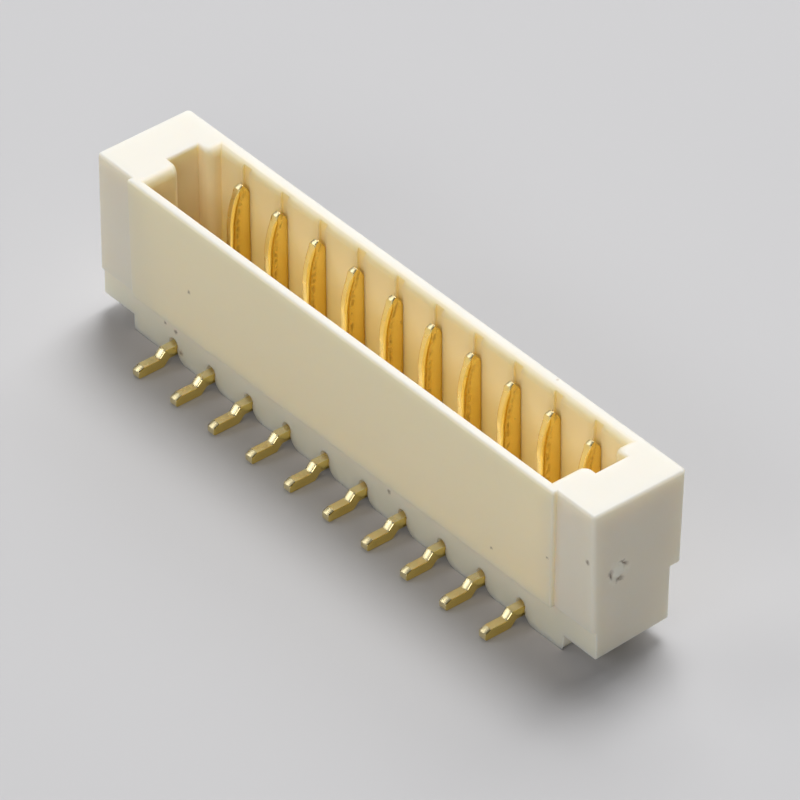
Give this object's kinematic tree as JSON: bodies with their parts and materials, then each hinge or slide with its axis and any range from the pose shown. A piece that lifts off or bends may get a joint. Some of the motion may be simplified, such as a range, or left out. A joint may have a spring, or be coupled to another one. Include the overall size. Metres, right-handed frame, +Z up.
{
  "type": "shrouded board header",
  "caption": "One-row shrouded board header: an ivory moulded housing with an open keyed socket, stamped gold-plated blade contacts, and solder tails along its front edge.",
  "frame": {"origin": "middle of the housing's footprint, on the top face of the board", "axes": "+X along the row of contacts, -Y towards the solder tails, +Z up out of the socket"},
  "size_m": [0.0102, 0.0022, 0.0026],
  "materials": {
    "housing": "natural ivory nylon, fine matt mould texture, slightly translucent",
    "contact": "gold-plated copper alloy, stamped, satin with bright coined edges"
  },
  "bodies": {
    "root": {"housing": "housing", "contact_01": "contact", "contact_02": "contact", "contact_03": "contact", "contact_04": "contact", "contact_05": "contact", "contact_06": "contact", "contact_07": "contact", "contact_08": "contact", "contact_09": "contact", "contact_10": "contact"}
  },
  "joints": []
}
